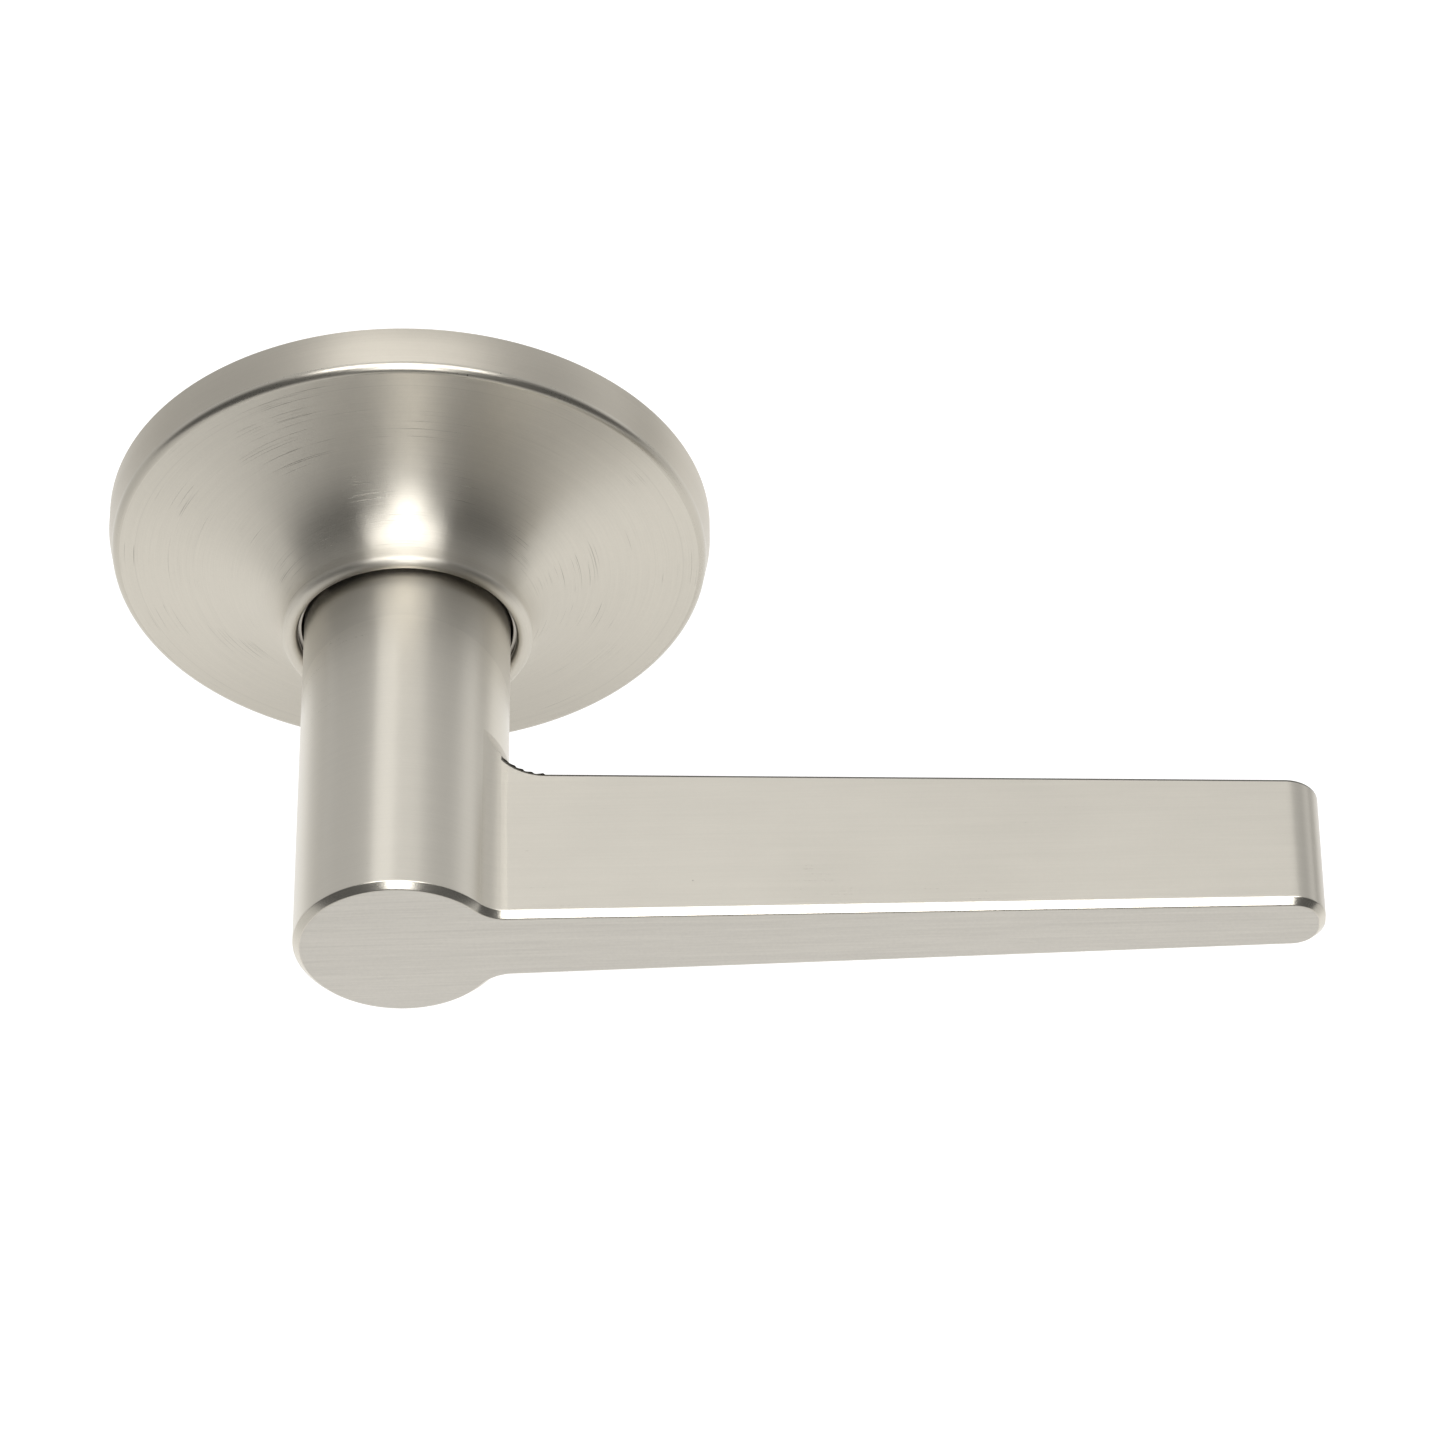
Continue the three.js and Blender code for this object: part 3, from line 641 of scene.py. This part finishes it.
def post(name, x):
    """A staked post with a tapped hole."""
    bottom = POST_BORE_DEPTH - POST_LENGTH
    thread = []
    pitch, turns = 0.8, 15
    for i in range(turns):
        start = -POST_LENGTH + 0.35 + i * pitch
        thread += [(POST_BORE, start), (POST_BORE + 0.3, start + pitch / 2)]
    section = [(0, PLATE_THICK - GAP), (POST_NECK, PLATE_THICK - GAP), (POST_NECK, -GAP), (POST_RADIUS, -GAP),
               (POST_RADIUS, 0.4 - POST_LENGTH), (POST_RADIUS - 0.4, -POST_LENGTH),
               (POST_BORE + 0.35, -POST_LENGTH)] + thread + [(POST_BORE, bottom), (0, bottom + 1)]
    return turned(name, section, 72, x, 0)


def headed(name, circle, angle, shank, head, back, height, cross=True):
    """A pan-headed fastener, with a cross recess if it is a screw."""
    section = [(0, GAP), (shank - 0.2, GAP), (shank, GAP + 0.3), (shank, back), (head, back),
               (head, back + height * 0.45), (head * 0.93, back + height * 0.72),
               (head * 0.7, back + height * 0.95), (head * 0.3, back + height), (0, back + height)]
    obj = turned(name, section, 48, circle, 0, 40)
    if cross:
        reach, half = head * 0.55, head * 0.12
        deep = (back + height * 0.4, back + height + 1)
        boolean(obj, [block("slot", (circle - reach, circle + reach), (-half, half), deep),
                      block("slot", (circle - half, circle + half), (-reach, reach), deep)])
        reshaded(obj)
    return spun(obj, angle)


def rose_clip(name, angle):
    base, inner, riser, thick, top, ridge, width = PLATE_THICK + GAP, 29, 37.2, 0.7, 4.8, 38.2, 8
    side = [(inner, base), (riser + thick, base), (ridge, base + 1.2), (riser + thick, top), (riser, top),
            (ridge - thick, base + 1.2), (riser, base + thick), (inner, base + thick)]
    strip = lofted(name, [[point(x, depth, z) for x, depth in side] for z in (-width / 2, width / 2)])
    boolean(strip, [bar("hole", RIVET_CIRCLE, 0, 1 + GAP, 1, 5)])
    return spun(softened(reshaded(strip), 0.12), angle)


def spring_cage():
    cup = turned("spring_cage_piece", rounded([
        (20.8, 2.3), (27.5, 2.3), (27.5, 3.5), (22, 3.5), (22, 8.4), (12.3, 8.4), (12.3, 14.6), (11, 14.6),
        (11, 7.2), (20.8, 7.2)], 0.35, 4), 144)
    tabs = [prism("tab", sector(16.2, 21.4, a - 11, a + 11, 12), 6.0, 7.8) for a in (90, 270)]
    boolean(cup, tabs, "UNION")
    holes = [spun(bar("hole", SCREW_CIRCLE, 0, 1.2 + GAP, 1, 5), a) for a in SCREW_ANGLES]
    return reshaded(boolean(cup, holes))


def return_spring(name, start, end):
    path = []
    steps = SPRING_TURNS * 28
    for i in range(steps + 1):
        bend, turn = start + (end - start) * i / steps, TAU * SPRING_TURNS * i / steps
        path.append(around(SPRING_CIRCLE + SPRING_COIL * math.cos(turn),
                           SPRING_DEPTH + SPRING_COIL * math.sin(turn), bend))
    return swept(name, path, SPRING_WIRE)


def catch_spring():
    low, high, turns = CATCH_SPRING_LOW, CATCH_SPRING_HIGH, CATCH_SPRING_TURNS
    path = []
    for i in range(turns * 28 + 1):
        turn = TAU * i / 28
        path.append(point(CATCH_SPRING_COIL * math.cos(turn),
                          CATCH_DEPTH + CATCH_SPRING_COIL * math.sin(turn),
                          low + (high - low) * i / (turns * 28)))
    return swept("catch_spring_piece", path, CATCH_SPRING_WIRE)


def wave_washer():
    section = [(9.8, 16.1), (12.2, 16.1), (12.2, 16.5), (9.8, 16.5)]
    washer = turned("wave_washer_piece", rounded(section, 0.06), 144)
    for vertex in washer.data.vertices:
        vertex.co.y += 0.2 * MM * math.sin(3 * math.atan2(vertex.co.z, vertex.co.x))
    return washer


def drive_cam():
    cam = turned("drive_cam_piece", [(9.8, 4.2), (15.4, 4.2), (15.4, 5.7), (9.8, 5.7)], 144)
    lugs = [prism("lug", sector(14.4, 20.2, a - 11, a + 11, 12), 4.2, 5.7) for a in (90, 270)]
    boolean(cam, lugs, "UNION")
    reach = 1 + GAP
    half = 50 + math.degrees((reach + 0.1) / STOP_CIRCLE)
    slots = [prism("slot", sector(STOP_CIRCLE - reach, STOP_CIRCLE + reach, a - half, a + half, 40), 3, 7)
             for a in (0, 180)]
    return softened(reshaded(boolean(cam, slots)), 0.1)


def pin_hole(reach=12):
    return along_x(bar("hole", 0, 0, 1 + GAP, -reach, reach), 12)


def drive_sleeve():
    tube = turned("drive_sleeve_piece", rounded([
        (7.5, 2.6), (11.5, 2.6), (11.5, 3.9), (9.5, 3.9), (9.5, 16.7), (8.8, 16.7), (8.8, 18.1), (9.5, 18.1),
        (9.5, 42), (7.5, 42)], 0.15), 144)
    half = KEY_HALF + GAP
    return reshaded(boolean(tube, [
        block("seat", (-half, half), (7.9, 10.5), (19.7, 40.3)),
        along_z(bar("window", 0, 0, CATCH_TIP + GAP, 5, 12), CATCH_DEPTH),
        pin_hole()]))


def drive_insert():
    half = 3.8 + GAP
    plug = turned("drive_insert_piece", rounded([(0, 4.5), (7.2, 4.5), (7.2, 18), (0, 18)], 0.25), 120)
    return reshaded(boolean(plug, [block("square", (-half, half), (-half, half), (0, 30)), pin_hole()]))


def spindle():
    """A square bar with its corners broken and both ends chamfered."""
    def outline(inset, corner=0.35, half=3.8):
        side = half - inset
        made = []
        for k in range(4):
            centre = side - corner
            turn = math.radians(90 * k)
            for x, z in arc(centre, centre, corner, 0, 90, 6):
                made.append((x * math.cos(turn) - z * math.sin(turn),
                             x * math.sin(turn) + z * math.cos(turn)))
        return made
    rows = [(0.8, -26.0), (0.72, -25.97), (0.03, -25.24), (0.0, -25.1), (0.0, 19.1), (0.03, 19.24),
            (0.72, 19.97), (0.8, 20.0)]
    loops = [[point(x, depth, z) for x, z in outline(inset)] for inset, depth in rows]
    return reshaded(boolean(lofted("spindle_piece", loops), [pin_hole()]))


def lever_catch():
    tongue = along_z(turned("lever_catch_piece", [
        (0, 5.9), (CATCH_TIP, 5.9), (CATCH_TIP, CATCH_TIP_END - 0.5)]
        + [(CATCH_TIP - 0.5 + x, CATCH_TIP_END - 0.5 + d) for x, d in arc(0, 0, 0.5, 15, 90, 6)]
        + [(0, CATCH_TIP_END)], 64), CATCH_DEPTH)
    foot = block("foot", (-3, 3), (-6.4, -5.2), (29, 35))
    return reshaded(boolean(tongue, [foot], "UNION"))


dress(mounting_plate(), "trim", "zinc_plate", zinc)
dress(post("post_left_piece", -POST_X), "trim", "zinc_plate", zinc)
dress(post("post_right_piece", POST_X), "trim", "zinc_plate", zinc)
dress(spring_cage(), "trim", "zinc_plate", zinc_round)
for number, angle in enumerate(SCREW_ANGLES, 1):
    dress(headed(f"cage_screw_{number}_piece", SCREW_CIRCLE, angle, 1.2, 2.2, 3.8, 1.4),
          "trim", "bright_steel", bright)
for number, angle in enumerate(CLIP_ANGLES, 1):
    dress(rose_clip(f"rose_clip_{number}_piece", angle), "trim", "spring_steel", spring)
    dress(headed(f"clip_rivet_{number}_piece", RIVET_CIRCLE, angle, 1.0, 2.0, 3.3, 0.8, cross=False),
          "trim", "bright_steel", bright)
dress(softened(prism("rose_ring_piece", sector(14.1, 15.3, 137, 473, 160), 17.5, 18.2), 0.12), "trim",
      "spring_steel", ring_steel)
dress(bar("stop_pin_left_piece", -STOP_CIRCLE, 0, 1, GAP, 5.8, edge=0.2), "trim", "bright_steel", bright)
dress(bar("stop_pin_right_piece", STOP_CIRCLE, 0, 1, GAP, 5.8, edge=0.2), "trim", "bright_steel", bright)
dress(return_spring("return_spring_left_piece", 90 + SPRING_END, 270 - SPRING_END),
      "trim", "spring_steel", spring)
dress(return_spring("return_spring_right_piece", SPRING_END - 90, 90 - SPRING_END),
      "trim", "spring_steel", spring)
dress(turned("thrust_washer_piece", rounded([(9.8, 6.1), (14.6, 6.1), (14.6, 6.9), (9.8, 6.9)]), 144), "trim",
      "nylon", nylon)
dress(turned("bearing_bush_piece", rounded([(9.8, 7.5), (10.7, 7.5), (10.7, 14.9), (12.2, 14.9), (12.2, 15.6),
                                            (9.8, 15.6)]), 144), "trim", "bronze", bronze)
dress(wave_washer(), "trim", "spring_steel", spring)

dress(drive_sleeve(), "lever", "zinc_plate", zinc_round)
dress(drive_cam(), "lever", "zinc_plate", zinc)
dress(softened(block("drive_key_piece", (-KEY_HALF, KEY_HALF), (8.2, KEY_HIGH), (20, KEY_FRONT)), 0.25, 3),
      "lever", "bright_steel", bright)
dress(drive_insert(), "lever", "zinc_plate", zinc)
dress(along_x(bar("insert_pin_piece", 0, 0, 1, -9.3, 9.3, edge=0.25), 12), "lever", "bright_steel", bright)
dress(spindle(), "lever", "zinc_plate", zinc)
dress(softened(prism("retaining_ring_piece", sector(9.1, 12.2, 115, 425, 150), 17.0, 17.8), 0.12), "lever",
      "spring_steel", spring)
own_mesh(dress(catch_spring(), "lever", "spring_steel", spring))
dress(lever_catch(), "catch", "bright_steel", bright)

# ---- Floor, light and camera ----

FLOOR_SIZE, FLOOR_LEVEL = 4.0, -0.102  # clear of the lever's tip when it is turned right down
WORLD_FRONT, WORLD_BEHIND = 0.12, 0.73
WINDOWS = (  # bounds in degrees about the Y axis, softness, high up or all the height, and strength
    (-27, -4, 2, "high", 0.66), (-4, 25, 3, "high", 0.18),
    (70, 150, 12, "side", 0.36), (-150, -85, 12, "side", 0.12))
CAMERA_AZIMUTH, CAMERA_ELEVATION, CAMERA_ROLL = (math.radians(a) for a in (-2.355, 51.925, -3.514))
CAMERA_TARGET, CAMERA_DISTANCE = Vector((41.78, -30.0, -6.753)) * MM, 932.4 * MM


def stage_floor():
    bm = bmesh.new()
    size, level = FLOOR_SIZE, FLOOR_LEVEL
    for cx, cy in ((-size, -size), (size, -size), (size, size), (-size, size)):
        bm.verts.new((cx, cy, level))
    bm.faces.new(bm.verts)
    floor = finish_mesh("floor", bm)
    look = Look("floor")
    here = look.node("ShaderNodeTexCoord", out=3)
    cloud = look.noise(here, 3.0, 3.0)
    colour = look.mix(cloud, (0.36, 0.36, 0.357, 1.0), (0.39, 0.39, 0.39, 1.0))
    # Painted light: the floor glows, brightest in a pool round the lever and fainter further off, which
    # washes out the shadows on it.
    off = look.vector("SUBTRACT", here, (0.07, 0.05, level))
    reach = look.vector("LENGTH", off, out=1)
    floor_painted_glow = look.smooth(reach, 0.18, 0.36, 0.76, 0.42)
    shader = look.node("ShaderNodeBsdfPrincipled", {
        "Base Color": colour, "Roughness": 0.8, "Emission Color": (1.0, 0.995, 0.985, 1.0),
        "Emission Strength": floor_painted_glow})
    look.node("ShaderNodeOutputMaterial", {0: shader}, out=None)
    floor.data.materials.append(look.material)


def softbox(name, position, aim, width, height, power):
    light = bpy.data.lights.new(name, "AREA")
    light.shape = "RECTANGLE"
    light.size, light.size_y = width, height
    light.energy = power
    obj = bpy.data.objects.new(name, light)
    obj.location = position
    obj.rotation_mode = "QUATERNION"
    obj.rotation_quaternion = (Vector(aim) - Vector(position)).to_track_quat("-Z", "Y")
    bpy.context.collection.objects.link(obj)


def studio_world():
    """Soft surroundings: pale behind the door's plane, with a window high up and light to the right."""
    world = bpy.data.worlds.new("studio")
    world.use_nodes = True
    look = Look.__new__(Look)
    look.tree = world.node_tree
    look.tree.nodes.clear()
    way = look.node("ShaderNodeTexCoord", out=0)
    x, y, z = (look.node("ShaderNodeSeparateXYZ", {0: way}, out=i) for i in range(3))
    angle = look.math("DEGREES", look.math("ARCTAN2", x, z))
    behind = look.smooth(y, -0.25, 0.35, 0.0, 1.0)

    def between(value, low, high, soft):
        return look.math("MULTIPLY", look.smooth(value, low - soft, low + soft, 0.0, 1.0),
                         look.smooth(value, high - soft, high + soft, 1.0, 0.0))

    height = between(y, 0.46, 0.74, 0.05)
    level = look.scaled(behind, 0.0, 1.0, WORLD_FRONT, WORLD_BEHIND)
    for low, high, soft, share, extra in WINDOWS:
        panel = look.math("MULTIPLY", between(angle, low, high, soft), height if share == "high" else behind)
        level = look.math("ADD", level, look.math("MULTIPLY", panel, extra))
    back = look.node("ShaderNodeBackground", {0: (0.985, 0.99, 1.0, 1.0), 1: level})
    look.node("ShaderNodeOutputWorld", {0: back}, out=None)
    bpy.context.scene.world = world


def product_camera():
    """Looks down at the lever from in front, from far off, with a slight roll."""
    azimuth, elevation, roll = CAMERA_AZIMUTH, CAMERA_ELEVATION, CAMERA_ROLL
    forward = Vector((math.sin(azimuth) * math.cos(elevation), math.cos(azimuth) * math.cos(elevation),
                      -math.sin(elevation)))
    level = Vector((math.cos(azimuth), -math.sin(azimuth), 0))
    upright = level.cross(forward)
    sideways = level * math.cos(roll) + upright * math.sin(roll)
    upward = upright * math.cos(roll) - level * math.sin(roll)
    data = bpy.data.cameras.new("camera")
    data.sensor_width = 36.0
    data.lens = 174.4
    data.clip_start, data.clip_end = 0.05, 20
    camera = bpy.data.objects.new("camera", data)
    camera.matrix_world = Matrix.Translation(CAMERA_TARGET - forward * CAMERA_DISTANCE) @ Matrix(
        (sideways, upward, -forward)).transposed().to_4x4()
    bpy.context.collection.objects.link(camera)
    bpy.context.scene.camera = camera


stage_floor()
studio_world()
softbox("overhead", (0.03, -0.16, 1.2), (0.03, -0.03, 0), 1.30, 0.70, 12.0)
softbox("front", (0.04, -0.90, 0.90), (0.03, -0.03, 0), 0.40, 0.70, 4.4)
product_camera()
bpy.context.scene.view_settings.view_transform = "Standard"
